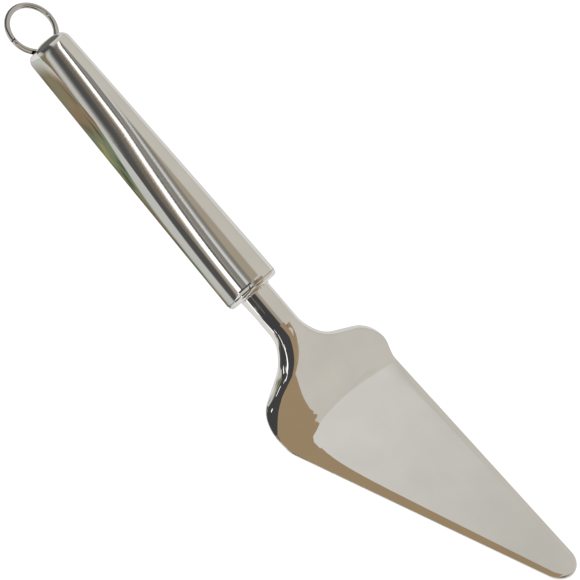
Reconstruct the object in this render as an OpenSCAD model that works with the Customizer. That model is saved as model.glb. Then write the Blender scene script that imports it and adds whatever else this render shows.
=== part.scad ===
// Cake server in stainless steel: a stamped blade with a half-round neck, welded into the cap of a
// hollow tapered handle that ends in a loose hanging ring.
// The tip points along +X, the blade's flat underside lies on Z = 0 and Y = 0 is the plane of symmetry.

/* [Blade] */
// Width of the blade across the crease
crease_w = 58.1; // [45:0.1:75]
// Length of the flat blade from the crease to the tip
blade_len = 95.2; // [70:0.5:130]
// Radius of the rounded tip seen from above
tip_r = 6.8; // [4:0.1:10]
// Thickness of the sheet
sheet_t = 1.2; // [0.8:0.1:2]
// Thickness that is left at the blade's thinned rim
rim_t = 0.6; // [0.4:0.1:0.8]
// Width of the thinned edge at the tip
edge_tip_w = 1.8; // [1:0.1:3]
// Width of the thinned edge half way along the blade
edge_mid_w = 3; // [1.5:0.1:5]
// Width of the thinned edge where the blade meets the crease
edge_root_w = 8; // [4:0.5:12]
// Length over which the wide edge at the crease narrows
edge_fade_len = 8; // [4:1:20]

/* [Root and neck] */
// Inside radius of the bend at the crease
crease_r = 7; // [4:0.5:15]
// How far the crease bows towards the handle at its middle
crease_bow = 3; // [0:0.5:4]
// Slope of the root above the blade, in degrees
root_angle = 36.5; // [25:0.5:42]
// Length of the root from the crease to the start of the upper bend
root_len = 24.5; // [20:0.1:32]
// Length of the upper bend between the root and the neck
upper_bend_len = 8; // [4:0.5:14]
// Length of the straight neck from the upper bend to the front cap
neck_len = 15.2; // [8:0.1:30]
// Outside width of the half-round neck
neck_w = 13; // [10:0.1:16]
// Angle through which each side of the neck turns down, in degrees
neck_roll = 83; // [70:1:88]
// Length ahead of the cap over which the neck deepens to a full half round
cap_flare_len = 7; // [4:0.5:12]
// Distance behind the crease at which the shoulder starts to round
shoulder_start = 3.7; // [1:0.1:5]
// Radius of the shoulder seen from above
shoulder_r = 10.5; // [8:0.5:12]
// Angle of the shoulder's rear edge to the centre line, in degrees
flare_angle = 67; // [56:1:68]
// Radius of the hollow corner between the shoulder and the neck
fillet_r = 15.5; // [8:0.5:17]
// Length of tang hidden inside the handle
tang_len = 26; // [15:1:40]

/* [Handle] */
// Slope of the handle above the blade, in degrees
handle_angle = 22.8; // [15:0.1:30]
// Length of the handle tube
tube_len = 106.3; // [80:0.5:130]
// Outside diameter of the tube at its front end
front_d = 20.2; // [18:0.1:24]
// Outside diameter of the tube at its tail
tail_d = 16.4; // [15.5:0.1:19]
// How far the tube's side swells beyond a straight taper
tube_crown = 0.1; // [0:0.05:0.4]
// Wall of the tube
tube_wall = 0.5; // [0.4:0.1:0.8]
// Radius of the rounded shoulder at the tail
tail_r = 3.4; // [2:0.1:4]
// Height of the neck's ridge above the handle's axis
ridge_h = 4.9; // [3:0.1:5.5]

/* [Front cap] */
// Height of the cap in front of the tube
cap_h = 1.8; // [1.2:0.1:3]
// Wall of the cap
cap_wall = 0.9; // [0.6:0.1:1.2]
// Radius of the cap's rounded front edge
cap_edge_r = 1.4; // [0.5:0.1:1.7]
// How far the cap's rim is set in from the tube's outside
cap_inset = 0.2; // [0.1:0.05:0.4]
// Length of the cap's spigot inside the tube
spigot_len = 5; // [3:0.5:10]
// Gap round the spigot and round the neck in its slot
fit_gap = 0.03; // [0.02:0.01:0.1]

/* [Hanging ring] */
// Radius of the ring to the middle of its wire
ring_r = 8.7; // [8.6:0.1:8.9]
// Diameter of the ring's wire
wire_d = 2; // [1.6:0.1:2]
// Distance of the ring's centre beyond the tail
ring_out = 6.7; // [6.5:0.1:6.7]
// Gap in the ring where the two ends of the wire meet
butt_gap = 0.3; // [0.2:0.05:0.6]
// Width of each slot that the ring passes through
slot_w = 5.2; // [5.2:0.1:5.4]
// How much longer than wide each slot is
slot_extra = 2.4; // [2.2:0.1:2.6]
// Distance of each slot's middle from the plane of symmetry
slot_y = 4.4; // [4.35:0.05:4.45]

/* [Hidden] */

steel = [0.78, 0.77, 0.75];
bright_steel = [0.83, 0.83, 0.82];
wire_steel = [0.7, 0.69, 0.67];

// Counts of facets and steps
round_facets = 96;
wire_facets = 32;
arc_steps = 10;
taper_steps = 10;
shoulder_steps = 10;
fillet_steps = 8;
bend_steps = 5;
flat_steps = 6;
roll_steps = 8;
flare_steps = 4;

// One overrun for every cut, so that no cut ends on a face
over = 0.5;

// Outline of the blade and root, as a half width at each distance "run" behind the crease.
// The runs ahead of the crease are negative.
tip_run = tip_r - blade_len;
half_crease = crease_w / 2;
edge_angle = atan2(half_crease, -tip_run) - asin(tip_r / norm([tip_run, half_crease]));
neck_half = neck_w / 2;
shoulder_half = half_crease + shoulder_start * tan(edge_angle);
widest_half = shoulder_half + shoulder_r * (1 - cos(edge_angle));
shoulder_mid = shoulder_start + shoulder_r * sin(edge_angle);
shoulder_end = shoulder_mid + shoulder_r * sin(flare_angle);
flare_half = widest_half - shoulder_r * (1 - cos(flare_angle));
fillet_reach = fillet_r * tan(flare_angle / 2);
flare_corner = shoulder_end + (flare_half - neck_half) / tan(flare_angle);
fillet_start = flare_corner - fillet_reach * cos(flare_angle);
fillet_end = flare_corner + fillet_reach;
tip_tangent = tip_run - tip_r * sin(edge_angle);

function half_width(run) =
    run < tip_tangent ? sqrt(max(tip_r * tip_r - pow(tip_run - run, 2), 0)) :
    run < shoulder_start ? half_crease + run * tan(edge_angle) :
    run < shoulder_end ? widest_half - shoulder_r + sqrt(pow(shoulder_r, 2) - pow(run - shoulder_mid, 2)) :
    run < fillet_start ? flare_half - (run - shoulder_end) * tan(flare_angle) :
    run < fillet_end ? neck_half + fillet_r - sqrt(pow(fillet_r, 2) - pow(fillet_end - run, 2)) :
    neck_half;

// Side profile of the sheet's top along its middle: flat blade, crease, root, upper bend and neck
crease_arc = crease_r * root_angle * PI / 180;
cap_run = root_len + upper_bend_len + neck_len;
tang_end = cap_run + tang_len;

function slope(run) =
    run < -crease_arc / 2 ? 0 :
    run < crease_arc / 2 ? root_angle * (run / crease_arc + 1 / 2) :
    run < root_len ? root_angle :
    run < root_len + upper_bend_len ?
        root_angle + (handle_angle - root_angle) * (run - root_len) / upper_bend_len :
    handle_angle;

// Each stretch of the profile is an arc or a straight line, so its end follows from its chord
function chord(a, b) =
    let (turn = slope(b) - slope(a), mid = (slope(a) + slope(b)) / 2)
    let (len = turn == 0 ? b - a : (b - a) * sin(turn / 2) / (turn / 2 * PI / 180))
    len * [-cos(mid), sin(mid)];

profile_marks = [-blade_len, -crease_arc / 2, crease_arc / 2, root_len, root_len + upper_bend_len, tang_end];
function profile_from(run, i) =
    i == len(profile_marks) - 1 || run <= profile_marks[i] ? [0, 0] :
    chord(profile_marks[i], min(run, profile_marks[i + 1])) + profile_from(run, i + 1);
function profile(run) = profile_from(run, 0);

// An S-shaped step from 0 to 1
function ease(t) = t * t * (3 - 2 * t);

// The edge of the sheet rolls down from flat at the crease to the neck's arch, and the arch deepens
// to a full half round at the cap
roll_r = neck_half;
roll_full_run = fillet_start;
function roll_turn(run) =
    neck_roll * min(max(run / roll_full_run, 0), 1)
    + (90 - neck_roll) * ease(min(max(1 + (run - cap_run) / cap_flare_len, 0), 1));

// Width of the thinned edge, and how much of it is left behind the crease
function edge_width(run) =
    run > 0 ? edge_root_w :
    let (ahead = -run / blade_len)
    edge_tip_w + (edge_mid_w - edge_tip_w) * 2 * (1 - ahead)
    + (edge_root_w - 2 * edge_mid_w + edge_tip_w) * exp(run / edge_fade_len);
function edge_left(run) = 1 - min(max(run / shoulder_mid, 0), 1);

// The crease bows towards the handle, which lowers the middle of the root a little
function bow_left(run) = 1 - ease(min(max((run - shoulder_mid) / (fillet_start - shoulder_mid), 0), 1));
function bow_drop(run, across, half) =
    let (delay = crease_bow * pow(1 - pow(min(abs(across) / half, 1), 2), 2))
    run <= -crease_arc / 2 || run >= fillet_start ? 0 :
    bow_left(run) * (profile(run)[1] - profile(run - delay)[1]);

// The most of a half section that its edge zone takes
zone_share = 0.8;

// One cross-section of the sheet at a run, from its left rim to its right rim.
// "depth" is 0 for the top skin and sheet_t for the underside.
function section_point(run, side, i, depth) =
    let (
        half = half_width(run),
        rolled = roll_r * sin(roll_turn(run)),
        zone = min(max(rolled, edge_width(run) * edge_left(run)), half * zone_share),
        share = max(i - flat_steps, 0) / roll_steps,
        across = i <= flat_steps ? (half - zone) * i / flat_steps : half - zone * (1 - sin(90 * share)),
        lean = min(max(across - half + rolled, 0) / roll_r, 1),
        level = sqrt(1 - lean * lean),
        thinned = max(across - half + edge_width(run), 0) / edge_width(run),
        thinning = depth > 0 ? 0 : (sheet_t - rim_t) * edge_left(run) * pow(thinned, 2),
        out = across - depth * lean,
        up = -roll_r * (1 - level) - depth * level - thinning,
        base = profile(run),
        tilt = slope(run)
    )
    [
        base[0] + up * sin(tilt),
        side * out,
        base[1] + up * cos(tilt) - bow_drop(run, across, half)
    ];

side_steps = flat_steps + roll_steps;
function section(run) = concat(
    [for (i = [side_steps:-1:1]) section_point(run, -1, i, 0)],
    [for (i = [0:side_steps]) section_point(run, 1, i, 0)],
    [for (i = [side_steps:-1:1]) section_point(run, 1, i, sheet_t)],
    [for (i = [0:side_steps]) section_point(run, -1, i, sheet_t)]
);

// The runs at which the sheet has a section, close together where its outline or profile turns
first_tip_share = 0.25;
tip_runs = [
    for (i = [0:arc_steps])
        tip_run - tip_r * cos((90 - edge_angle) * (i + first_tip_share) / (arc_steps + first_tip_share))
];
blade_runs = [
    for (i = [1:taper_steps])
        tip_tangent + (-crease_arc / 2 - tip_tangent) * i / taper_steps
];
crease_runs = [for (i = [1:bend_steps]) crease_arc * (i / bend_steps - 1 / 2)];
shoulder_runs = [
    for (i = [1:shoulder_steps])
        let (turn = -edge_angle + (edge_angle + flare_angle) * i / shoulder_steps)
        if (shoulder_mid + shoulder_r * sin(turn) > crease_arc) shoulder_mid + shoulder_r * sin(turn)
];
flare_run = (shoulder_end + fillet_start) / 2;
fillet_runs = [
    for (i = [0:fillet_steps])
        fillet_end - fillet_r * sin(flare_angle * (1 - i / fillet_steps))
];
cap_flare_runs = [for (i = [0:flare_steps]) cap_run - cap_flare_len * (1 - i / flare_steps)];
tang_runs = [tang_end - tang_len / 2, tang_end];
runs = concat(
    tip_runs, blade_runs, crease_runs, shoulder_runs, [flare_run], fillet_runs, cap_flare_runs, tang_runs
);

// The handle's axis starts at the middle of the cap's front face. The tip stands where the whole
// object, ring included, is centred on X = 0.
ridge_end = profile(cap_run);
axis_x = ridge_end[0] - ridge_h * sin(handle_angle);
axis_z = ridge_end[1] - ridge_h * cos(handle_angle);
ring_at = cap_h + tube_len + ring_out;
tail_x = axis_x - (ring_at + ring_r) * cos(handle_angle) - wire_d / 2;
tip_x = -tail_x / 2;

// Tube and cap, as radii at each distance from the tube's front end
front_r = front_d / 2;
end_r = tail_d / 2;
function tube_r(at) =
    let (share = at / (tube_len - tail_r))
    front_r + (end_r - front_r) * share + 4 * tube_crown * share * (1 - share);
function side_points(inset) = [
    for (i = [0:taper_steps])
        let (at = (tube_len - tail_r) * i / taper_steps)
        [tube_r(at) - inset, at]
];
function shoulder_points(inset) = [
    for (i = [1:arc_steps])
        let (turn = 90 * i / arc_steps)
        [end_r - tail_r + (tail_r - inset) * cos(turn), tube_len - tail_r + (tail_r - inset) * sin(turn)]
];
tube_outside = concat(side_points(0), shoulder_points(0), [[0, tube_len]]);
tube_inside = concat(side_points(tube_wall), shoulder_points(tube_wall), [[0, tube_len - tube_wall]]);

cap_r = front_r - cap_inset;
spigot_r = tube_r(spigot_len) - tube_wall - fit_gap;
cap_profile = concat(
    [[0, 0]],
    [
        for (i = [0:arc_steps])
            let (turn = 90 * i / arc_steps)
            [cap_r - cap_edge_r * (1 - sin(turn)), cap_edge_r * (1 - cos(turn))]
    ],
    [
        [cap_r, cap_h],
        [spigot_r, cap_h],
        [spigot_r, cap_h + spigot_len],
        [spigot_r - cap_wall, cap_h + spigot_len],
        [spigot_r - cap_wall, cap_wall],
        [0, cap_wall]
    ]
);

// Places its children on the handle's axis: Z runs to the tail and X points up, away from the blade
module on_handle_axis() {
    translate([tip_x + axis_x, 0, sheet_t + axis_z])
        rotate([0, handle_angle - 90, 0])
            children();
}

// The stamping: blade, root, half-round neck and hidden tang are one sheet, lofted along its profile
module blade() {
    sections = [for (run = runs) section(run)];
    ring_count = len(sections[0]);
    last = len(sections) - 1;
    points = [for (s = sections) each s];
    skin = [
        for (s = [0:last - 1], i = [0:ring_count - 1])
            let (
                a = s * ring_count + i,
                b = s * ring_count + (i + 1) % ring_count,
                c = b + ring_count,
                d = a + ring_count
            )
            each [[a, c, b], [a, d, c]]
    ];
    ends = [
        for (i = [0:ring_count / 2 - 2])
            let (
                a = i,
                b = i + 1,
                c = ring_count - 2 - i,
                d = ring_count - 1 - i,
                far = last * ring_count
            )
            each [[a, b, c], [a, c, d], [far + a, far + c, far + b], [far + a, far + d, far + c]]
    ];
    color(bright_steel)
        translate([tip_x, 0, sheet_t])
            polyhedron(points, concat(skin, ends));
}

// The arched slot in the cap that the neck passes through, as wide as the sheet is thick
module neck_slot() {
    translate([ridge_h - roll_r, 0, -over])
        difference() {
            cylinder(h = cap_wall + 2 * over, r = roll_r + fit_gap, $fn = round_facets);
            translate([0, 0, -over])
                cylinder(h = cap_wall + 4 * over, r = roll_r - sheet_t - fit_gap, $fn = round_facets);
            translate([-2 * roll_r - fit_gap, -roll_r - over, -over])
                cube([2 * roll_r, 2 * (roll_r + over), cap_wall + 4 * over]);
        }
}

// Pressed cap: a flat disc with a rounded edge and a spigot that holds it in the tube
module front_cap() {
    color(bright_steel)
        on_handle_axis()
            difference() {
                rotate_extrude($fn = round_facets) polygon(cap_profile);
                neck_slot();
            }
}

// One slot in the tail, rounded at both ends and long across the ring's plane
module tail_slot(side) {
    translate([0, side * slot_y, tube_len - tail_r]) {
        for (end = [-1, 1])
            translate([end * slot_extra / 2, 0, 0])
                cylinder(h = tail_r + over, d = slot_w, $fn = wire_facets);
        translate([-slot_extra / 2, -slot_w / 2, 0])
            cube([slot_extra, slot_w, tail_r + over]);
    }
}

// Drawn tube: tapered, closed and rounded at the tail, with a slot on each side of a bridge
module handle_tube() {
    color(steel)
        on_handle_axis()
            translate([0, 0, cap_h])
                difference() {
                    rotate_extrude($fn = round_facets)
                        polygon(concat(tube_outside, [for (i = [len(tube_inside) - 1:-1:0]) tube_inside[i]]));
                    for (side = [-1, 1])
                        tail_slot(side);
                }
}

// Round wire bent to a ring, with its two ends meeting at the side
module hanging_ring() {
    gap_angle = butt_gap / ring_r * 180 / PI;
    color(wire_steel)
        on_handle_axis()
            translate([0, 0, ring_at])
                rotate([0, 90, 0])
                    rotate([0, 0, gap_angle / 2 - 90])
                        rotate_extrude(angle = 360 - gap_angle, $fn = round_facets)
                            translate([ring_r, 0])
                                circle(d = wire_d, $fn = wire_facets);
}

blade();
front_cap();
handle_tube();
hanging_ring();
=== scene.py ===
"""Looks of the cake server: stamped blade with its neck, front cap, handle tube and hanging ring.

The shapes repeat the part's formulas at a finer step. Sizes are in millimetres, and MM turns them
into Blender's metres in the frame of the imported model. Polished steel looks like what it mirrors, so
the rest is a studio for it: a world laid out by direction, a white floor and cards round the part.
"""

import math

import bmesh
import bpy
import numpy as np
from mathutils import Matrix, Vector


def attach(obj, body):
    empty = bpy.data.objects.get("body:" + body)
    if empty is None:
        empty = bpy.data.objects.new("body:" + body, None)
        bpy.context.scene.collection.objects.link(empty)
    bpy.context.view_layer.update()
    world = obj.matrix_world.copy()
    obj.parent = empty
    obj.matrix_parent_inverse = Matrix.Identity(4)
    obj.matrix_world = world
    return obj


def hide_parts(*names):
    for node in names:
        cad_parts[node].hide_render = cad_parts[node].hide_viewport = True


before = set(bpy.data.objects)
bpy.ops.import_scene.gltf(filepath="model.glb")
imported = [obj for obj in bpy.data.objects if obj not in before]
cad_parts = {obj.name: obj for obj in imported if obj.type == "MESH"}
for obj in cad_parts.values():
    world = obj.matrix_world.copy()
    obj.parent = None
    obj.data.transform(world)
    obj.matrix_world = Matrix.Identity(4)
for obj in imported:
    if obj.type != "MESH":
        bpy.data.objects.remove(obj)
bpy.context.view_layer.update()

MM = 0.001

# Blade: width at its crease, length, tip and sheet. Then the sheet left at the thinned edge, the
# edge's width at the tip, the middle and the crease, and how soon it widens before the crease.
CREASE_W = 58.1
BLADE_LEN = 95.2
TIP_R = 6.8
SHEET_T = 1.2
RIM_T = 0.6
EDGE_TIP_W = 1.8
EDGE_MID_W = 3.0
EDGE_ROOT_W = 11.0
EDGE_FADE_LEN = 8.0

# Root and neck: lengths along the sheet from the crease on, widths, radii and angles
CREASE_R = 7.0
CREASE_BOW = 3.0
ROOT_ANGLE = 36.5
ROOT_LEN = 24.5
UPPER_BEND_LEN = 8.0
NECK_LEN = 15.2
NECK_W = 13.0
NECK_ROLL = 83.0
CAP_FLARE_LEN = 7.0
SHOULDER_START = 3.7
SHOULDER_R = 10.5
FLARE_ANGLE = 67.0
FILLET_R = 15.5
TANG_LEN = 26.0

# Handle: its rise, the tube, and the neck's ridge above the handle's axis
HANDLE_ANGLE = 22.8
TUBE_LEN = 106.3
FRONT_D = 20.2
TAIL_D = 16.4
TUBE_CROWN = 0.1
TUBE_WALL = 0.5
TAIL_R = 3.4
RIDGE_H = 4.9

# Front cap
CAP_H = 1.8
CAP_WALL = 0.9
CAP_EDGE_R = 1.4
CAP_INSET = 0.2
SPIGOT_LEN = 5.0
FIT_GAP = 0.03

# Hanging ring, its middle behind the tube's tail, and the slots that it passes through
RING_R = 8.7
WIRE_D = 2.0
RING_OUT = 6.7
BUTT_GAP = 0.12
SLOT_W = 5.2
SLOT_EXTRA = 2.4
SLOT_Y = 4.4

# Rounding of the sheet's cut edges and of the tube's front edge
RIM_ROUND = 0.28
TUBE_EDGE_ROUND = 0.12

# The most of a half section that its edge zone and its rounded rim take
ZONE_SHARE = 0.8
RIM_SHARE = 0.3

# Camera, as fitted to the photograph: its direction from the object and its roll in radians, how far
# right of the lens, below it and ahead of it the crease's middle is, and the lens in pixels of the
# 580 pixel frame. The clipping distances are in metres.
CAMERA_AZIMUTH = 0.4740
CAMERA_ELEVATION = 0.8478
CAMERA_ROLL = 0.2603
CREASE_IN_VIEW = (17.79, 37.10, 701.99)
LENS_PX = 2100
FRAME_PX = 580
SENSOR = 36
CLIP_START = 0.01
CLIP_END = 100


def sin_deg(angle):
    return math.sin(math.radians(angle))


def cos_deg(angle):
    return math.cos(math.radians(angle))


def tan_deg(angle):
    return math.tan(math.radians(angle))


def clamp(value):
    """The value, kept between 0 and 1."""
    return min(max(value, 0.0), 1.0)


def ease(share):
    """Goes from 0 to 1 with a soft start and a soft end."""
    return share * share * (3 - 2 * share)


# Outline, as in the part's source: a half width at each run behind the crease
TIP_RUN = TIP_R - BLADE_LEN
HALF_CREASE = CREASE_W / 2
EDGE_ANGLE = math.degrees(
    math.atan2(HALF_CREASE, -TIP_RUN) - math.asin(TIP_R / math.hypot(TIP_RUN, HALF_CREASE))
)
NECK_HALF = NECK_W / 2
WIDEST_HALF = HALF_CREASE + SHOULDER_START * tan_deg(EDGE_ANGLE) + SHOULDER_R * (1 - cos_deg(EDGE_ANGLE))
SHOULDER_MID = SHOULDER_START + SHOULDER_R * sin_deg(EDGE_ANGLE)
SHOULDER_END = SHOULDER_MID + SHOULDER_R * sin_deg(FLARE_ANGLE)
FLARE_HALF = WIDEST_HALF - SHOULDER_R * (1 - cos_deg(FLARE_ANGLE))
FILLET_REACH = FILLET_R * tan_deg(FLARE_ANGLE / 2)
FLARE_CORNER = SHOULDER_END + (FLARE_HALF - NECK_HALF) / tan_deg(FLARE_ANGLE)
FILLET_START = FLARE_CORNER - FILLET_REACH * cos_deg(FLARE_ANGLE)
FILLET_END = FLARE_CORNER + FILLET_REACH
TIP_TANGENT = TIP_RUN - TIP_R * sin_deg(EDGE_ANGLE)
CREASE_ARC = CREASE_R * math.radians(ROOT_ANGLE)
CAP_RUN = ROOT_LEN + UPPER_BEND_LEN + NECK_LEN
TANG_END = CAP_RUN + TANG_LEN


def half_width(run):
    """Half of the sheet's width, round the tip, along the side, and over shoulder, flare and fillet."""
    if run < TIP_TANGENT:
        return math.sqrt(max(TIP_R**2 - (TIP_RUN - run) ** 2, 0))
    if run < SHOULDER_START:
        return HALF_CREASE + run * tan_deg(EDGE_ANGLE)
    if run < SHOULDER_END:
        return WIDEST_HALF - SHOULDER_R + math.sqrt(SHOULDER_R**2 - (run - SHOULDER_MID) ** 2)
    if run < FILLET_START:
        return FLARE_HALF - (run - SHOULDER_END) * tan_deg(FLARE_ANGLE)
    if run < FILLET_END:
        return NECK_HALF + FILLET_R - math.sqrt(FILLET_R**2 - (FILLET_END - run) ** 2)
    return NECK_HALF


def slope(run):
    """How steeply the sheet rises at a run, in degrees."""
    if run < -CREASE_ARC / 2:
        return 0.0
    if run < CREASE_ARC / 2:
        return ROOT_ANGLE * ease(run / CREASE_ARC + 0.5)
    if run < ROOT_LEN:
        return ROOT_ANGLE
    if run < ROOT_LEN + UPPER_BEND_LEN:
        return ROOT_ANGLE + (HANDLE_ANGLE - ROOT_ANGLE) * ease((run - ROOT_LEN) / UPPER_BEND_LEN)
    return HANDLE_ANGLE


def chord(start, end):
    """The straight way between two runs of one bend, as (x, z)."""
    turn = slope(end) - slope(start)
    middle = (slope(start) + slope(end)) / 2
    length = end - start
    if turn != 0:
        length *= sin_deg(turn / 2) / math.radians(turn / 2)
    return np.array([-cos_deg(middle), sin_deg(middle)]) * length


# Runs where the sheet's slope starts or stops changing
MARKS = [-BLADE_LEN, -CREASE_ARC / 2, CREASE_ARC / 2, ROOT_LEN, ROOT_LEN + UPPER_BEND_LEN, TANG_END]


def profile(run):
    """The place (x, z) of a run on the ridge line, from the blade's tip on."""
    place = np.zeros(2)
    for start, end in zip(MARKS, MARKS[1:]):
        if run <= start:
            break
        place = place + chord(start, min(run, end))
    return place


def roll_turn(run):
    """How far the sheet's sides are rolled down at a run, in degrees."""
    closing = ease(clamp(1 + (run - CAP_RUN) / CAP_FLARE_LEN))
    return NECK_ROLL * clamp(run / FILLET_START) + (90 - NECK_ROLL) * closing


def edge_width(run):
    """Width of the thinned edge, which grows evenly from the tip and swells before the crease."""
    if run > 0:
        return EDGE_ROOT_W
    ahead = -run / BLADE_LEN
    return (
        EDGE_TIP_W
        + (EDGE_MID_W - EDGE_TIP_W) * 2 * (1 - ahead)
        + (EDGE_ROOT_W - 2 * EDGE_MID_W + EDGE_TIP_W) * math.exp(run / EDGE_FADE_LEN)
    )


def edge_left(run):
    """How much of the thinned edge is left behind the crease."""
    return 1 - clamp(run / SHOULDER_MID)


def bow_left(run):
    """How much of the crease's bow is left behind the shoulder."""
    return 1 - ease(clamp((run - SHOULDER_MID) / (FILLET_START - SHOULDER_MID)))


# The handle's axis starts at the middle of the cap's front face. AXIS_X and AXIS_Z are measured from
# the tip, and TIP_X is where the tip stands so that the whole part is centred on X.
RIDGE_END = profile(CAP_RUN)
AXIS_X = RIDGE_END[0] - RIDGE_H * sin_deg(HANDLE_ANGLE)
AXIS_Z = RIDGE_END[1] - RIDGE_H * cos_deg(HANDLE_ANGLE)
RING_AT = CAP_H + TUBE_LEN + RING_OUT
TIP_X = ((RING_AT + RING_R) * cos_deg(HANDLE_ANGLE) + WIRE_D / 2 - AXIS_X) / 2
ALONG = np.array([-cos_deg(HANDLE_ANGLE), 0, sin_deg(HANDLE_ANGLE)])
UP = np.array([sin_deg(HANDLE_ANGLE), 0, cos_deg(HANDLE_ANGLE)])
ACROSS = np.array([0.0, 1.0, 0.0])
AXIS_START = np.array([TIP_X + AXIS_X, 0, SHEET_T + AXIS_Z])


def on_axis(at, up, across):
    """Points given along, above and across the handle's axis, turned into the model's metres."""
    at, up, across = np.broadcast_arrays(*(np.asarray(v, float) for v in (at, up, across)))
    return MM * (AXIS_START + at[..., None] * ALONG + up[..., None] * UP + across[..., None] * ACROSS)


def mesh_object(name, vertices, faces):
    """An object in the scene from points in metres and faces."""
    mesh = bpy.data.meshes.new(name)
    mesh.from_pydata(np.asarray(vertices).reshape(-1, 3).tolist(), [], faces)
    mesh.validate()
    mesh.update()
    obj = bpy.data.objects.new(name, mesh)
    bpy.context.scene.collection.objects.link(obj)
    mesh.shade_smooth()
    return obj


def grid_faces(rows, columns, closed_rows=False):
    """Quads between the points of a grid that is stored row by row and closed along its rows."""
    faces = []
    for r in range(rows if closed_rows else rows - 1):
        for c in range(columns):
            below = (r + 1) % rows * columns
            beside = (c + 1) % columns
            faces.append((r * columns + c, r * columns + beside, below + beside, below + c))
    return faces


def loft(name, rings, flipped=False):
    """A mesh through rings of points, with both ends closed."""
    rings = np.array(rings)
    count = rings.shape[1]
    faces = grid_faces(len(rings), count)
    if flipped:
        faces = [face[::-1] for face in faces]
    last = (len(rings) - 1) * count
    faces += [tuple(range(count)), tuple(last + i for i in reversed(range(count)))]
    return mesh_object(name, rings, faces)


# Steps across half a section: over its flat middle, over its edge zone, and round its rim
FLAT_STEPS = 16
ROLL_STEPS = 30
RIM_STEPS = 8

# Sections along the blade: round the tip, where the first stands a part of a step behind its
# foremost point, and then as (run, number of sections up to it)
TIP_SECTIONS = 25
TIP_BLUNT = 0.15
SECTIONS_TO = ((-CREASE_ARC / 2, 60), (CREASE_ARC / 2, 24), (CAP_RUN, 120), (TANG_END, 6))


def half_section(run):
    """Half of a section at a run, from the top's middle over the rim to the underside's middle: how
    far out and how far up each point lies, and how far the crease's bow drops it, in millimetres."""
    half = half_width(run)
    rolled = NECK_HALF * sin_deg(roll_turn(run))
    zone = min(max(rolled, edge_width(run) * edge_left(run)), half * ZONE_SHARE)
    rim = min(RIM_ROUND, half * RIM_SHARE)
    flat = (half - zone) * np.arange(FLAT_STEPS) / FLAT_STEPS
    turn = np.radians(90 * np.arange(ROLL_STEPS + 1) / ROLL_STEPS)
    edge = half - zone + (zone - rim) * np.sin(turn)
    skin = np.concatenate([flat, edge])
    rim_turn = np.pi * np.arange(1, RIM_STEPS) / RIM_STEPS
    # place is measured over the flat sheet, and under goes from 0 on its top to 1 on its underside
    place = np.concatenate([skin, half - rim * (1 - np.sin(rim_turn)), skin[::-1]])
    under = np.concatenate([np.zeros(len(skin)), (1 - np.cos(rim_turn)) / 2, np.ones(len(skin))])
    # lean and level are the sine and cosine of how far the sheet is rolled down there
    lean = np.clip((place - half + rolled) / NECK_HALF, 0, 1)
    level = np.sqrt(1 - lean * lean)
    thinned = np.clip((place - half + edge_width(run)) / edge_width(run), 0, 1)
    thinning = (1 - under) * (SHEET_T - RIM_T) * edge_left(run) * thinned**2
    depth = under * SHEET_T
    out = place - depth * lean
    up = -NECK_HALF * (1 - level) - depth * level - thinning
    drop = np.zeros(len(place))
    if -CREASE_ARC / 2 < run < FILLET_START:
        for i, across in enumerate(place):
            delay = CREASE_BOW * (1 - min(across / half, 1) ** 2) ** 2
            drop[i] = bow_left(run) * (profile(run)[1] - profile(run - delay)[1])
    return out, up, drop


def blade_runs():
    """The runs of all sections, from the tip to the tang's end."""
    shares = (np.arange(TIP_SECTIONS) + TIP_BLUNT) / (TIP_SECTIONS - 1 + TIP_BLUNT)
    runs = [TIP_RUN - TIP_R * np.cos(np.radians((90 - EDGE_ANGLE) * shares))]
    start = TIP_TANGENT
    for end, count in SECTIONS_TO:
        runs.append(np.linspace(start, end, count)[1:])
        start = end
    return np.concatenate(runs)


def build_blade():
    """Blade, root, half-round neck and hidden tang, lofted as one sheet with rounded rims."""
    rows = []
    for run in blade_runs():
        out, up, drop = half_section(run)
        base = profile(run)
        tilt = slope(run)
        x = base[0] + up * sin_deg(tilt) + TIP_X
        z = base[1] + up * cos_deg(tilt) - drop + SHEET_T
        right = np.stack([x, out, z], 1)
        left = np.stack([x, -out, z], 1)
        rows.append(np.concatenate([right, left[::-1][1:-1]]))
    return loft("blade_sheet", np.array(rows) * MM, flipped=True)


# Steps round the handle's axis. Outlines that would touch the axis stop this short of it.
ROUND_STEPS = 192
AXIS_HOLE = 0.02


def revolve(name, outline):
    """A closed outline of (radius, distance along the axis) turned round the handle's axis."""
    radius, along = np.array(outline).T
    turn = 2 * np.pi * np.arange(ROUND_STEPS)[:, None] / ROUND_STEPS
    points = on_axis(along, radius * np.cos(turn), radius * np.sin(turn))
    faces = grid_faces(ROUND_STEPS, len(outline), closed_rows=True)
    return mesh_object(name, points, faces)


def arc(centre, radius, start, end, steps):
    """Points of (radius, along) on an arc. Angle 0 points away from the axis and 90 to the tail."""
    turn = np.radians(np.linspace(start, end, steps + 1))
    return [(centre[0] + radius * math.cos(t), centre[1] + radius * math.sin(t)) for t in turn]


FRONT_R = FRONT_D / 2
END_R = TAIL_D / 2

# Steps over the roundings: the tube's front edge, its tail outside and inside, and the cap's edge
FRONT_STEPS = 5
TAIL_STEPS = 20
INNER_STEPS = 12
CAP_STEPS = 14


def tube_r(at):
    """The tube's radius at a distance behind the cap."""
    share = at / (TUBE_LEN - TAIL_R)
    return FRONT_R + (END_R - FRONT_R) * share + 4 * TUBE_CROWN * share * (1 - share)


# Points along the tube's side, how many of them its inside skips to the next, and how far in from its
# rounding the end face has a further ring of points
SIDE_POINTS = 60
INNER_EVERY = 6
END_FACE_RING = 1.5


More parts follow.
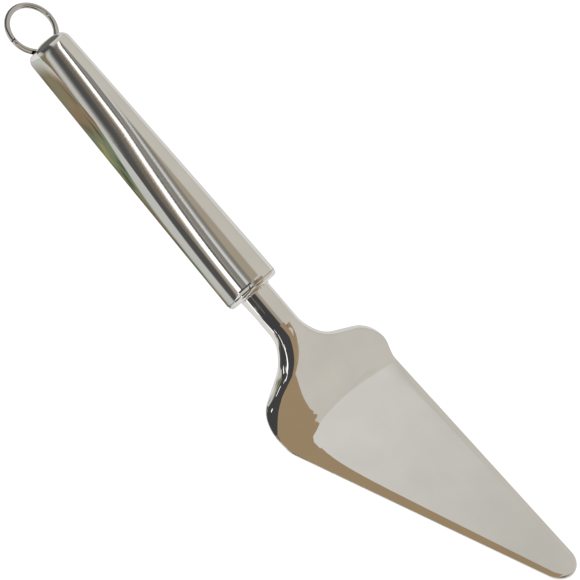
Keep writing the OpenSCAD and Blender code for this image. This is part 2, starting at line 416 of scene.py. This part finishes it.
def build_tube():
    """Tapered tube with a rounded front edge, and a closed tail with two slots cut through it."""
    side = np.linspace(0, TUBE_LEN - TAIL_R, SIDE_POINTS)
    tail = CAP_H + TUBE_LEN
    tail_centre = (END_R - TAIL_R, tail - TAIL_R)
    front_centre = (tube_r(0) - TUBE_EDGE_ROUND, CAP_H + TUBE_EDGE_ROUND)
    outline = [(tube_r(0) - TUBE_WALL, CAP_H)]
    outline += arc(front_centre, TUBE_EDGE_ROUND, -90, 0, FRONT_STEPS)
    outline += [(tube_r(at), CAP_H + at) for at in side[1:]]
    outline += arc(tail_centre, TAIL_R, 0, 90, TAIL_STEPS)[1:]
    outline += [(END_R - TAIL_R - END_FACE_RING, tail), (AXIS_HOLE, tail), (AXIS_HOLE, tail - TUBE_WALL)]
    outline += arc(tail_centre, TAIL_R - TUBE_WALL, 90, 0, INNER_STEPS)
    outline += [(tube_r(at) - TUBE_WALL, CAP_H + at) for at in side[::-INNER_EVERY][1:-1]]
    tube = revolve("handle_tube_skin", outline)
    for side_sign in (-1, 1):
        cutter = build_slot_cutter(side_sign)
        cut = tube.modifiers.new("slot", "BOOLEAN")
        cut.operation = "DIFFERENCE"
        cut.solver = "EXACT"
        cut.object = cutter
        bake(tube)
        bpy.data.objects.remove(cutter)
    return tube


# Steps round each end of a slot, and how far its cutter stands out of the tail
SLOT_END_STEPS = 24
CUTTER_OVERHANG = 1


def build_slot_cutter(side_sign):
    """An obround block through the tail, long across the ring's plane."""
    turn = np.radians(np.linspace(-90, 90, SLOT_END_STEPS + 1))
    half_up = SLOT_EXTRA / 2 + SLOT_W / 2 * np.cos(turn)
    half_across = SLOT_W / 2 * np.sin(turn)
    up = np.concatenate([half_up, -half_up])
    across = side_sign * SLOT_Y + np.concatenate([half_across, -half_across])
    tail = CAP_H + TUBE_LEN
    ends = [on_axis(at, up, across) for at in (tail - TAIL_R, tail + CUTTER_OVERHANG)]
    cutter = loft("slot_cutter", ends)
    fix_normals(cutter)
    return cutter


def fix_normals(obj):
    """Turns all faces outwards."""
    bm = bmesh.new()
    bm.from_mesh(obj.data)
    bmesh.ops.recalc_face_normals(bm, faces=bm.faces)
    bm.to_mesh(obj.data)
    bm.free()


def bake(obj):
    """Turns an object's modifiers into its mesh."""
    depsgraph = bpy.context.evaluated_depsgraph_get()
    mesh = bpy.data.meshes.new_from_object(obj.evaluated_get(depsgraph))
    obj.modifiers.clear()
    obj.data = mesh


def paint(obj, material, chosen):
    """Gives a second material to the faces that are chosen by where their middle lies along and
    across the handle's axis, in millimetres, and by how much they face along it."""
    obj.data.materials.append(material)
    for face in obj.data.polygons:
        offset = np.array(face.center) / MM - AXIS_START
        if chosen(offset @ ALONG, offset @ ACROSS, np.array(face.normal) @ ALONG):
            face.material_index = 1


# Radii at which the cap's flat face has further points, and the chamfer behind its rim
CAP_FACE_RINGS = (3.0, 6.0)
CAP_BACK_CHAMFER = 0.06


def build_cap():
    """Pressed cap with a rounded front edge, closed by the weld round the neck."""
    cap_r = FRONT_R - CAP_INSET
    spigot_r = tube_r(SPIGOT_LEN) - TUBE_WALL - FIT_GAP
    bore_r = spigot_r - CAP_WALL
    spigot_end = CAP_H + SPIGOT_LEN
    outline = [(radius, 0) for radius in (AXIS_HOLE, *CAP_FACE_RINGS)]
    outline += arc((cap_r - CAP_EDGE_R, CAP_EDGE_R), CAP_EDGE_R, -90, 0, CAP_STEPS)
    outline += [(cap_r, CAP_H - CAP_BACK_CHAMFER), (cap_r - CAP_BACK_CHAMFER, CAP_H)]
    outline += [(spigot_r, CAP_H), (spigot_r, spigot_end)]
    outline += [(bore_r, spigot_end), (bore_r, CAP_WALL), (AXIS_HOLE, CAP_WALL)]
    return revolve("front_cap_disc", outline)


# The weld bead's radius, how it swells and shrinks along its way, as (share, radians for each
# millimetre, start), and its points along its way and round itself
WELD_R = 0.42
WELD_WAVES = ((0.18, 4.1, 0), (0.1, 7.3, 1))
WELD_POINTS = 121
WELD_ROUND = 16


def build_weld():
    """A thin uneven bead of weld where the neck enters the cap."""
    out, up, _ = half_section(CAP_RUN)
    # the bead follows the neck's top up to the start of its rim
    top = len(out) // 2 - RIM_STEPS // 2 + 1
    arch = list(zip(out[:top], up[:top] + RIDGE_H))
    path = np.array([(-a, u) for a, u in reversed(arch[1:])] + arch)
    steps = np.concatenate([[0], np.cumsum(np.hypot(*np.diff(path, axis=0).T))])
    even = np.linspace(0, steps[-1], WELD_POINTS)
    across = np.interp(even, steps, path[:, 0])
    above = np.interp(even, steps, path[:, 1])
    around = 2 * np.pi * np.arange(WELD_ROUND) / WELD_ROUND
    rings = []
    for run, y, up in zip(even, across, above):
        radius = WELD_R * (1 + sum(share * math.sin(rate * run + start) for share, rate, start in WELD_WAVES))
        out_y, out_up = np.array([y, up]) / math.hypot(y, up)
        reach = radius * np.cos(around)
        rings.append(on_axis(radius * np.sin(around), up + reach * out_up, y + reach * out_y))
    return loft("weld_bead", rings)


# The ring's butt joint stands on the -Y side, as the photograph shows it. Its wire's ends have a
# small chamfer. Then the circles along the wire, and the points round each.
RING_BUTT_TURN = math.pi
BUTT_CHAMFER = 0.15
RING_CIRCLES = 241
WIRE_ROUND = 40


def wire_circle(turn, radius):
    """A circle round the ring's wire, at a turn from its butt joint."""
    around = 2 * np.pi * np.arange(WIRE_ROUND) / WIRE_ROUND
    reach = RING_R + radius * np.cos(around)
    at = RING_AT + reach * -math.sin(turn + RING_BUTT_TURN)
    across = reach * math.cos(turn + RING_BUTT_TURN)
    return on_axis(at, radius * np.sin(around), across)


def build_ring():
    """Round wire bent to a ring, its two ends meeting at the side with a small chamfer."""
    wire = WIRE_D / 2
    end = BUTT_GAP / 2 / RING_R
    step = BUTT_CHAMFER / RING_R
    turns = np.linspace(end, 2 * np.pi - end, RING_CIRCLES)
    full = [turns[0] + step, *turns[1:-1], turns[-1] - step]
    rings = [wire_circle(turn, wire) for turn in full]
    first, last = (wire_circle(turn, wire - BUTT_CHAMFER) for turn in (turns[0], turns[-1]))
    return loft("ring_wire", [first, *rings, last])


def nodes_of(owner):
    """Turns a material's or a world's nodes on. Returns its tree, its nodes and its links."""
    owner.use_nodes = True
    tree = owner.node_tree
    return tree, tree.nodes, tree.links


def maths(tree, operation, first, second=None):
    """A maths node on two values, each a number or a socket. Returns its output."""
    node = tree.nodes.new("ShaderNodeMath")
    node.operation = operation
    for socket, value in zip(node.inputs, (first, second)):
        if value is None:
            continue
        if isinstance(value, (int, float)):
            socket.default_value = value
        else:
            tree.links.new(value, socket)
    return node.outputs[0]


def product(tree, first, second):
    """The product of two values."""
    return maths(tree, "MULTIPLY", first, second)


def step_up(tree, value, start, end):
    """Goes smoothly from 0 at start to 1 at end."""
    node = tree.nodes.new("ShaderNodeMapRange")
    node.interpolation_type = "SMOOTHSTEP"
    node.inputs["From Min"].default_value = start
    node.inputs["From Max"].default_value = end
    tree.links.new(value, node.inputs["Value"])
    return node.outputs["Result"]


def blend(tree, share, below, above):
    """Mixes two colours, each a tuple or a socket."""
    node = tree.nodes.new("ShaderNodeMix")
    node.data_type = "RGBA"
    tree.links.new(share, node.inputs["Factor"])
    for socket, colour in ((node.inputs[6], below), (node.inputs[7], above)):
        if isinstance(colour, tuple):
            socket.default_value = (*colour, 1)
        else:
            tree.links.new(colour, socket)
    return node.outputs[2]


def bands(tree, value, stops):
    """Colours along a value, given as (value, colour) stops."""
    low, high = stops[0][0], stops[-1][0]
    share = maths(tree, "DIVIDE", maths(tree, "SUBTRACT", value, low), high - low)
    node = tree.nodes.new("ShaderNodeValToRGB")
    while len(node.color_ramp.elements) < len(stops):
        node.color_ramp.elements.new(0.5)
    for element, (at, colour) in zip(node.color_ramp.elements, stops):
        element.position = (at - low) / (high - low)
        element.color = (*colour, 1)
    tree.links.new(share, node.inputs["Fac"])
    return node.outputs["Color"]


def noise(tree, place, scale, detail):
    """Procedural noise at a place. Returns its value's output."""
    node = tree.nodes.new("ShaderNodeTexNoise")
    node.inputs["Scale"].default_value = scale
    node.inputs["Detail"].default_value = detail
    tree.links.new(place, node.inputs["Vector"])
    return node.outputs["Fac"]


# Colours of steel, and how its mirrored light dims towards grazing angles
POLISHED = (0.62, 0.61, 0.59)
WIRE_STEEL = (0.46, 0.45, 0.44)
# Near-black steel for the painted shade in the seams' narrow gaps and the ring's butt joint
SEAM_SHADE = (0.10, 0.10, 0.10)
EDGE_TINT = (0.72, 0.72, 0.72, 1)

# Noise over the steel as (scale, detail): the fine grain and the soft clouding. Then the clouding's
# levels and the share by which it changes the colour, the share by which the grain changes the
# roughness, and the grain's depth in metres.
GRAIN = (1600, 3)
CLOUDS = (70, 4)
CLOUD_STOPS = (0.3, 0.7)
MOTTLE = 0.03
ROUGH_SPREAD = 0.25
GRAIN_DEPTH = 0.0002

# Roughness of each steel, and how strongly the grain ripples it
POLISH = 0.03
WIRE_POLISH = 0.06
WELD_POLISH = 0.08
SEAM_ROUGH = 0.5
RIPPLE = 0.002
TUBE_RIPPLE = 0.006


def steel(name, base, roughness, ripple=RIPPLE):
    """Polished stainless steel with a fine grain, faint ripples and slight clouding."""
    material = bpy.data.materials.new(name)
    tree, nodes, links = nodes_of(material)
    shader = nodes["Principled BSDF"]
    shader.inputs["Metallic"].default_value = 1.0
    shader.inputs["Specular Tint"].default_value = EDGE_TINT
    place = nodes.new("ShaderNodeTexCoord").outputs["Object"]
    grain = noise(tree, place, *GRAIN)

    tint = nodes.new("ShaderNodeValToRGB")
    for element, at, level in zip(tint.color_ramp.elements, CLOUD_STOPS, (1 - MOTTLE, 1 + MOTTLE)):
        element.position = at
        element.color = (*[channel * level for channel in base], 1)
    links.new(noise(tree, place, *CLOUDS), tint.inputs["Fac"])
    links.new(tint.outputs["Color"], shader.inputs["Base Color"])

    rough = nodes.new("ShaderNodeMapRange")
    rough.inputs["To Min"].default_value = roughness * (1 - ROUGH_SPREAD)
    rough.inputs["To Max"].default_value = roughness * (1 + ROUGH_SPREAD)
    links.new(grain, rough.inputs["Value"])
    links.new(rough.outputs["Result"], shader.inputs["Roughness"])

    relief = nodes.new("ShaderNodeBump")
    relief.inputs["Strength"].default_value = ripple
    relief.inputs["Distance"].default_value = GRAIN_DEPTH
    links.new(grain, relief.inputs["Height"])
    links.new(relief.outputs["Normal"], shader.inputs["Normal"])
    return material


def dress(obj, material, body, node):
    """Gives a piece its steel, the node it replaces and the body it rides on."""
    obj.data.materials.clear()
    obj.data.materials.append(material)
    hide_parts(node)
    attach(obj, body)


# Edges sharper than this many degrees stay sharp
SHARP_ANGLE = 40

# Where painted shade darkens the seams, standing in for the shade in their narrow gaps, in millimetres: on
# the tube's front edge as far as this behind the cap, where it faces forward at least this much, on the cap's
# rim this far before and behind its back, and on the ring this far beside its butt gap
SEAM_ON_TUBE = 0.14
SEAM_FACING = -0.3
SEAM_BEFORE = 0.1
SEAM_BEHIND = 0.5
SEAM_BY_BUTT = 0.18


def paint_seam_shade(cap, tube, ring):
    """Paints shade into the seam between cap and tube and into the ring's butt joint, as near-black steel."""
    seam_shade = steel("seam_shadow", SEAM_SHADE, SEAM_ROUGH)
    paint(tube, seam_shade, lambda at, across, facing: at < CAP_H + SEAM_ON_TUBE and facing < SEAM_FACING)
    paint(cap, seam_shade, lambda at, across, facing: -SEAM_BEFORE < at - CAP_H < SEAM_BEHIND)
    beside = BUTT_GAP / 2 + SEAM_BY_BUTT
    paint(ring, seam_shade, lambda at, across, facing: abs(at - RING_AT) < beside and across < 0)


def add_pieces():
    """Builds the five meshes, and gives each its steel, its node and its body."""
    blade = build_blade()
    cap = build_cap()
    tube = build_tube()
    ring = build_ring()
    weld = build_weld()
    for piece in (blade, cap, tube, ring, weld):
        fix_normals(piece)
    for piece in (cap, tube, ring):
        piece.data.shade_smooth()
        piece.data.set_sharp_from_angle(angle=math.radians(SHARP_ANGLE))
    blade_steel = steel("blade_polish", POLISHED, POLISH)
    cap_steel = steel("cap_polish", POLISHED, POLISH)
    tube_steel = steel("tube_polish", POLISHED, POLISH, TUBE_RIPPLE)
    wire_steel = steel("wire_polish", WIRE_STEEL, WIRE_POLISH)
    weld_steel = steel("weld_polish", POLISHED, WELD_POLISH)
    dress(blade, blade_steel, "server", "blade")
    dress(cap, cap_steel, "server", "front_cap")
    dress(tube, tube_steel, "server", "handle_tube")
    dress(ring, wire_steel, "ring", "hanging_ring")
    dress(weld, weld_steel, "server", "front_cap")
    paint_seam_shade(cap, tube, ring)


def add_camera():
    """The photograph's camera."""
    level = math.cos(CAMERA_ELEVATION)
    back = Vector(
        (
            level * math.sin(CAMERA_AZIMUTH),
            -level * math.cos(CAMERA_AZIMUTH),
            math.sin(CAMERA_ELEVATION),
        )
    )
    flat_right = (-back).cross(Vector((0, 0, 1))).normalized()
    flat_up = flat_right.cross(-back)
    right = math.cos(CAMERA_ROLL) * flat_right + math.sin(CAMERA_ROLL) * flat_up
    up = math.cos(CAMERA_ROLL) * flat_up - math.sin(CAMERA_ROLL) * flat_right
    crease_x, crease_z = profile(0)
    crease = Vector((TIP_X + crease_x, 0, SHEET_T + crease_z))
    beside, below, ahead = CREASE_IN_VIEW
    place = crease - beside * right + below * up + ahead * back
    data = bpy.data.cameras.new("camera")
    data.sensor_width = SENSOR
    data.lens = LENS_PX * SENSOR / FRAME_PX
    camera = bpy.data.objects.new("camera", data)
    axes = Matrix((right, up, back)).transposed()
    camera.matrix_world = Matrix.Translation(place * MM) @ axes.to_4x4()
    data.clip_start = CLIP_START
    data.clip_end = CLIP_END
    bpy.context.scene.collection.objects.link(camera)
    bpy.context.scene.camera = camera


# Floor: its grey, how much light it gives off, and in metres half its size and how far it lies below
# the part
FLOOR_SHADE = (0.4, 0.4, 0.4, 1)
FLOOR_LIFT = 0.9
FLOOR_HALF = 3.0
FLOOR_DROP = 0.0002


def add_floor():
    """Plain white floor. Its lift is seen by the camera and in reflections, and lights nothing."""
    signs = [(-1, -1), (1, -1), (1, 1), (-1, 1)]
    corners = [(FLOOR_HALF * x, FLOOR_HALF * y, 0) for x, y in signs]
    floor = mesh_object("floor", corners, [(0, 1, 2, 3)])
    floor.location.z = -FLOOR_DROP
    material = bpy.data.materials.new("floor_white")
    tree, nodes, links = nodes_of(material)
    shader = nodes["Principled BSDF"]
    shader.inputs["Base Color"].default_value = FLOOR_SHADE
    shader.inputs["Roughness"].default_value = 1
    shader.inputs["Specular IOR Level"].default_value = 0
    paths = nodes.new("ShaderNodeLightPath")
    seen = maths(tree, "MAXIMUM", paths.outputs["Is Camera Ray"], paths.outputs["Is Glossy Ray"])
    seen = maths(tree, "MAXIMUM", seen, paths.outputs["Is Transmission Ray"])
    lift = nodes.new("ShaderNodeEmission")
    links.new(product(tree, seen, FLOOR_LIFT), lift.inputs["Strength"])
    lifted = nodes.new("ShaderNodeAddShader")
    links.new(shader.outputs["BSDF"], lifted.inputs[0])
    links.new(lift.outputs["Emission"], lifted.inputs[1])
    links.new(lifted.outputs["Shader"], nodes["Material Output"].inputs["Surface"])
    floor.data.materials.append(material)


# Light levels of the studio that the steel mirrors
PALE = (0.82, 0.79, 0.72)
MIST = (0.94, 0.93, 0.89)
DIM = (0.77, 0.75, 0.70)
ROSE = (0.84, 0.80, 0.74)
SAND = (0.55, 0.48, 0.38)
TAN = (0.49, 0.36, 0.22)
STONE = (0.30, 0.28, 0.24)
SLATE = (0.37, 0.37, 0.35)
SILVER = (0.93, 0.94, 0.94)
ASH = (0.48, 0.47, 0.45)
LINEN = (0.83, 0.78, 0.70)
BROWN = (0.26, 0.22, 0.18)
SHADE = (0.20, 0.20, 0.19)
CHARCOAL = (0.12, 0.12, 0.12)
INK = (0.08, 0.08, 0.085)
CHALK = (0.80, 0.81, 0.78)
LEAF = (0.26, 0.32, 0.20)
RUST = (0.35, 0.21, 0.14)
MOSS = (0.09, 0.12, 0.08)
EMBER = (0.50, 0.30, 0.20)
GOLD = (0.50, 0.46, 0.20)
WINDOW = (1.9, 1.9, 1.9)
WHITE = (1, 1, 1)

# The studio's walls as bands round the handle, in degrees from straight up towards -Y. Along the
# handle they run askew, by so many degrees for each unit of the direction's share along the axis,
# and they sway by a few degrees between two such shares.
ASKEW = 555
ASKEW_FROM = 0.032
SWAY = 15
SWAY_FROM = 0.025
SWAY_TO = 0.135
PALE_ASKEW = 130
HANDLE_BANDS = [
    (-30, SAND),
    (8, SAND),
    (17, STONE),
    (25, SLATE),
    (32, SILVER),
    (37, SILVER),
    (41, STONE),
    (47, SLATE),
    (51, STONE),
    (55, ASH),
    (59, STONE),
    (63, CHARCOAL),
    (65, CHARCOAL),
    (67, WINDOW),
    (79, WINDOW),
    (81, LINEN),
    (85, SAND),
    (91, BROWN),
    (99, BROWN),
    (108, CHARCOAL),
    (124, CHARCOAL),
    (132, SLATE),
    (140, CHALK),
    (150, CHALK),
    (159, RUST),
    (172, LEAF),
    (230, LEAF),
    (290, PALE),
]

# The bands round the neck and the root, in the same degrees
NECK_BANDS = [
    (-180, PALE),
    (3, PALE),
    (9, SAND),
    (22, SAND),
    (28, INK),
    (50, INK),
    (56, BROWN),
    (60, INK),
    (84, INK),
    (86, WINDOW),
    (90, WINDOW),
    (92, INK),
    (97, CHARCOAL),
    (102, PALE),
    (180, PALE),
]
ROOT_BANDS = [
    (-180, ROSE),
    (-34, ROSE),
    (-30, TAN),
    (-12, TAN),
    (0, BROWN),
    (12, BROWN),
    (32, PALE),
    (180, PALE),
]

# The wall beyond the handle's tail, which the blade mirrors, by the direction's share along the axis
WALL_BANDS = [
    (0.1, PALE),
    (0.4, PALE),
    (0.43, DIM),
    (0.53, MIST),
    (0.8, MIST),
]

# Where a part of the studio's world starts to show and where it shows in full: AT by the share along
# the axis and TURN by the degrees round it
PALE_TURN = (-14, -24)
BESIDE_AT = (0.15, 0.17)
BESIDE_TURN = (-30, -33)
WALL_AT = (0.195, 0.215)
DARK_WALL_TURN = (10, 22)
DARK_WALL_END_TURN = (74, 60)
SHADE_AT = (0.64, 0.76)
NECK_AT = (0.02, 0.01)
ROOT_AT = (-0.035, -0.06)
FRONT_AT = (-0.61, -0.68)


def world_directions(tree):
    """A direction's turn round the X axis, in degrees from straight up towards -Y, and its share
    along the handle's axis."""
    direction = tree.nodes.new("ShaderNodeTexCoord").outputs["Generated"]
    split = tree.nodes.new("ShaderNodeSeparateXYZ")
    tree.links.new(direction, split.inputs[0])
    side = product(tree, split.outputs["Y"], -1)
    turn = maths(tree, "DEGREES", maths(tree, "ARCTAN2", side, split.outputs["Z"]))
    dot = tree.nodes.new("ShaderNodeVectorMath")
    dot.operation = "DOT_PRODUCT"
    tree.links.new(direction, dot.inputs[0])
    dot.inputs[1].default_value = tuple(ALONG)
    return turn, dot.outputs["Value"]


def handle_light(tree, turn, along):
    """The bands that the handle mirrors, askew and swaying, with the pale side over them."""
    beyond = maths(tree, "SUBTRACT", along, ASKEW_FROM)
    rise = maths(tree, "SUBTRACT", along, SWAY_FROM)
    fall = maths(tree, "SUBTRACT", SWAY_TO, along)
    hump = 4 * SWAY / (SWAY_TO - SWAY_FROM) ** 2
    arch = product(tree, product(tree, rise, fall), hump)
    sway = maths(tree, "MAXIMUM", arch, 0)
    askew_turn = maths(tree, "ADD", turn, product(tree, beyond, ASKEW))
    colour = bands(tree, maths(tree, "SUBTRACT", askew_turn, sway), HANDLE_BANDS)
    pale_turn = maths(tree, "ADD", turn, product(tree, beyond, PALE_ASKEW))
    return blend(tree, step_up(tree, pale_turn, *PALE_TURN), colour, PALE)


def add_world():
    """The studio round the part, laid out by direction only."""
    world = bpy.data.worlds.new("studio")
    bpy.context.scene.world = world
    tree, nodes, links = nodes_of(world)
    turn, along = world_directions(tree)
    colour = handle_light(tree, turn, along)
    beside = product(tree, step_up(tree, along, *BESIDE_AT), step_up(tree, turn, *BESIDE_TURN))
    colour = blend(tree, beside, colour, PALE)
    dark = product(tree, step_up(tree, turn, *DARK_WALL_TURN), step_up(tree, turn, *DARK_WALL_END_TURN))
    wall = blend(tree, dark, bands(tree, along, WALL_BANDS), CHARCOAL)
    colour = blend(tree, step_up(tree, along, *WALL_AT), colour, wall)
    colour = blend(tree, step_up(tree, along, *SHADE_AT), colour, SHADE)
    colour = blend(tree, step_up(tree, along, *NECK_AT), colour, bands(tree, turn, NECK_BANDS))
    colour = blend(tree, step_up(tree, along, *ROOT_AT), colour, bands(tree, turn, ROOT_BANDS))
    colour = blend(tree, step_up(tree, along, *FRONT_AT), colour, PALE)
    seen = nodes.new("ShaderNodeLightPath").outputs["Is Camera Ray"]
    colour = blend(tree, seen, colour, WHITE)
    links.new(colour, nodes["Background"].inputs["Color"])


# Side card: a board below the handle on its -Y side, seen in reflections only. Its top and its foot
# are given across and above the handle's axis, its length along it. Sizes in millimetres.
CARD_TOP = (-77, 6.6)
CARD_FOOT = (-5, -17)
CARD_LEN = 112

# Its print is measured from this far below its top. Two curved edges fall from there towards the
# handle's front: above the first the board is dark, between both it is chalk, and below the second it
# is a blurred garden. Each edge is given by its depth at the front, its length along the handle and
# its power, and SOFT says from where to where it fades.
PRINT_TOP = 18
DARK_EDGE = (36, 64, 3)
DARK_SOFT = (2, -3)
CHALK_EDGE = (50, 81, 4)
CHALK_SOFT = (-2, 3)

# The dark part turns to sand towards its upper front corner
CORNER_SLANT = 0.8
CORNER_SOFT = (24, 4)

# The garden's patches, as (noise scale, level where they start, colour), and where along the handle it
# reddens and ends
PATCHES = ((40, 0.45, RUST), (60, 0.5, MOSS), (80, 0.56, GOLD))
PATCH_DETAIL = 1
PATCH_SOFT = 0.2
EMBER_SHARE = 0.35
EMBER_AT = (72, 88)
GARDEN_END = (109, 101)


def below_edge(tree, at, down, depth, length, power):
    """How far a place of the print lies below a curved edge."""
    bend = maths(tree, "POWER", maths(tree, "DIVIDE", at, length), power)
    edge = product(tree, maths(tree, "SUBTRACT", 1, bend), depth)
    return maths(tree, "SUBTRACT", down, edge)


def garden_print(tree, place, at):
    """Leaf green with soft patches, redder towards the tail."""
    colour = LEAF
    for scale, level, patch in PATCHES:
        clouds = noise(tree, place, scale, PATCH_DETAIL)
        share = step_up(tree, clouds, level, level + PATCH_SOFT)
        colour = blend(tree, share, colour, patch)
    return blend(tree, product(tree, step_up(tree, at, *EMBER_AT), EMBER_SHARE), colour, EMBER)


def card_print(tree):
    """The side card's print. Returns its colour's output."""
    place = tree.nodes.new("ShaderNodeTexCoord").outputs["Object"]
    split = tree.nodes.new("ShaderNodeSeparateXYZ")
    tree.links.new(place, split.inputs[0])
    at = maths(tree, "DIVIDE", split.outputs["X"], MM)
    down = maths(tree, "SUBTRACT", maths(tree, "DIVIDE", split.outputs["Y"], MM), PRINT_TOP)
    corner = maths(tree, "ADD", down, product(tree, at, CORNER_SLANT))
    dark = blend(tree, step_up(tree, corner, *CORNER_SOFT), CHARCOAL, SAND)
    above = step_up(tree, below_edge(tree, at, down, *DARK_EDGE), *DARK_SOFT)
    colour = blend(tree, above, CHALK, dark)
    below = step_up(tree, below_edge(tree, at, down, *CHALK_EDGE), *CHALK_SOFT)
    low = product(tree, below, step_up(tree, at, *GARDEN_END))
    return blend(tree, low, colour, garden_print(tree, place, at))


def add_side_card():
    """The printed board that the handle's lower side mirrors."""
    top, foot = np.array(CARD_TOP, float), np.array(CARD_FOOT, float)
    width = float(np.hypot(*(foot - top)))
    down = (foot - top) / width
    down_axis = down[0] * ACROSS + down[1] * UP
    corners = [(0, 0, 0), (CARD_LEN, 0, 0), (CARD_LEN, width, 0), (0, width, 0)]
    card = mesh_object("side_card", np.array(corners) * MM, [(0, 1, 2, 3)])
    axes = Matrix((ALONG, down_axis, np.cross(ALONG, down_axis))).transposed()
    place = Vector(on_axis(0, top[1], top[0]))
    card.matrix_world = Matrix.Translation(place) @ axes.to_4x4()
    material = bpy.data.materials.new("card_print")
    tree, nodes, links = nodes_of(material)
    glow = nodes.new("ShaderNodeEmission")
    links.new(card_print(tree), glow.inputs["Color"])
    links.new(glow.outputs["Emission"], nodes["Material Output"].inputs["Surface"])
    card.data.materials.append(material)
    hide_but_mirrored(card)


def hide_but_mirrored(card):
    """A studio card that only the steel sees: it shades nothing and isn't in the picture."""
    card.visible_camera = False
    card.visible_diffuse = False
    card.visible_shadow = False


# One-sided cards in plain colours, given by their corners in millimetres. Two of them stand: tan_card
# across the blade, for the root's left shoulder, and dark_card beside the neck, for its left flank.
TAN_CARD_X = 45
TAN_CARD = [(-28, 8), (-28, 48), (25, 48), (20, 38), (13.5, 31), (10, 22), (7.4, 15.5), (6.8, 8)]
DARK_CARD = [(3, -40, 11), (12, -40, 78), (34, -40, 30), (34, -40, 3)]

# The others lie flat above the neck, the root and the crease, which mirror them, and are given by
# (x, y) at one height. The dark one fills the room between the tan band and the tan edge.
CEILING_Z = 20
BAND_RIGHT = [
    (3, -2.1),
    (8, -2.1),
    (12, -3.1),
    (16, -5),
    (19, -4),
    (21, -1.5),
    (22.5, -0.7),
    (24, -1),
    (25, -1.5),
    (25, -6),
]
BAND_LEFT = [(24, -4), (22, -7), (19, -8.2), (15.5, -8.4), (12, -6.4), (8, -4.6), (3, -4.1)]
EDGE_BORDER = [(28, -15), (29, -20), (31.5, -23), (36, -31)]
EDGE_TAN = EDGE_BORDER[:1] + [(48, -15), (48, -27)] + EDGE_BORDER[:0:-1]
DARK_FRONT = [(25, -6), (25, -14.8)]
DARK_LEFT = [(33, -36), (25, -39), (3, -39), (-20, -30), (-20, -11.5), (3, -11.5)]
DARK = BAND_LEFT[::-1] + DARK_FRONT + EDGE_BORDER + DARK_LEFT

# Small bright squares just below the dark card, as (x, y, half size), for the neck's white glints
GLINT_Z = 19.8
GLINTS = [(3.7, -14.4, 0.7), (5.9, -13.4, 0.8), (7.3, -13.7, 0.6), (-5, -17.3, 1.8), (12, -29.8, 1.3)]

# A card close over the crease's left end, for the tan patch's notch
CREASE_Z = 3.5
CREASE_TAN = [
    (28.5, -13),
    (30.5, -11.2),
    (31.4, -14),
    (32.2, -17.1),
    (33.9, -18.8),
    (36.8, -19.3),
    (44, -19.9),
    (44, -28),
    (30, -28),
    (28.5, -20),
]

# A card close over the blade's left edge: how far above it, how far inside its thinned edge and how
# far outside its outline, at runs from near the tip to near the crease
STRIP_LIFT = 1.5
STRIP_IN = 1.0
STRIP_OUT = 3.0
STRIP_RUNS = range(-93, -3, 3)

# A card shows only in steel that is as near to it as this, in millimetres, and fades over REACH_SOFT
CARD_REACH = 38
FAR_REACH = 80
REACH_SOFT = 1


def strip_corners():
    """Corners of the low card along the blade's left edge, which its thinned edge mirrors."""
    inner = [(run, edge_width(run) - half_width(run) + STRIP_IN) for run in STRIP_RUNS]
    outer = [(run, -half_width(run) - STRIP_OUT) for run in STRIP_RUNS]
    height = SHEET_T + STRIP_LIFT
    return [(TIP_X + profile(run)[0], y, height) for run, y in outer + inner[::-1]]


def add_card(name, corners, colour, reach=CARD_REACH):
    """A card that gives off its colour on one side and is clear on the other, and beyond its reach."""
    card = mesh_object(name, np.array(corners, float) * MM, [tuple(range(len(corners)))])
    material = bpy.data.materials.new(name)
    tree, nodes, links = nodes_of(material)
    face = nodes.new("ShaderNodeNewGeometry")
    glow = nodes.new("ShaderNodeEmission")
    glow.inputs["Color"].default_value = (*colour, 1)
    clear = nodes.new("ShaderNodeBsdfTransparent")
    either = nodes.new("ShaderNodeMixShader")
    length = nodes.new("ShaderNodeLightPath").outputs["Ray Length"]
    far = step_up(tree, length, reach * MM, (reach + REACH_SOFT) * MM)
    links.new(maths(tree, "MAXIMUM", face.outputs["Backfacing"], far), either.inputs["Fac"])
    links.new(glow.outputs["Emission"], either.inputs[1])
    links.new(clear.outputs["BSDF"], either.inputs[2])
    links.new(either.outputs["Shader"], nodes["Material Output"].inputs["Surface"])
    card.data.materials.append(material)
    hide_but_mirrored(card)


def flat_card(name, outline, height, colour):
    """A card that faces down, given by (x, y) at a height."""
    add_card(name, [(x, y, height) for x, y in outline], colour)


def add_cards():
    """All cards in plain colours."""
    add_card("tan_card", [(TAN_CARD_X, y, z) for y, z in TAN_CARD], TAN, FAR_REACH)
    for number, (x, y, half) in enumerate(GLINTS):
        square = [(x - half, y - half), (x - half, y + half), (x + half, y + half), (x + half, y - half)]
        flat_card("glint_%d" % number, square, GLINT_Z, WINDOW)
    flat_card("band_ceiling", BAND_RIGHT + BAND_LEFT, CEILING_Z, TAN)
    flat_card("edge_ceiling", EDGE_TAN, CEILING_Z, TAN)
    flat_card("dark_ceiling", DARK, CEILING_Z, INK)
    add_card("strip_ceiling", strip_corners(), TAN)
    flat_card("crease_ceiling", CREASE_TAN, CREASE_Z, TAN)
    add_card("dark_card", DARK_CARD, INK, FAR_REACH)


add_pieces()
add_camera()
add_floor()
add_side_card()
add_cards()
add_world()
bpy.context.scene.view_settings.view_transform = "Standard"
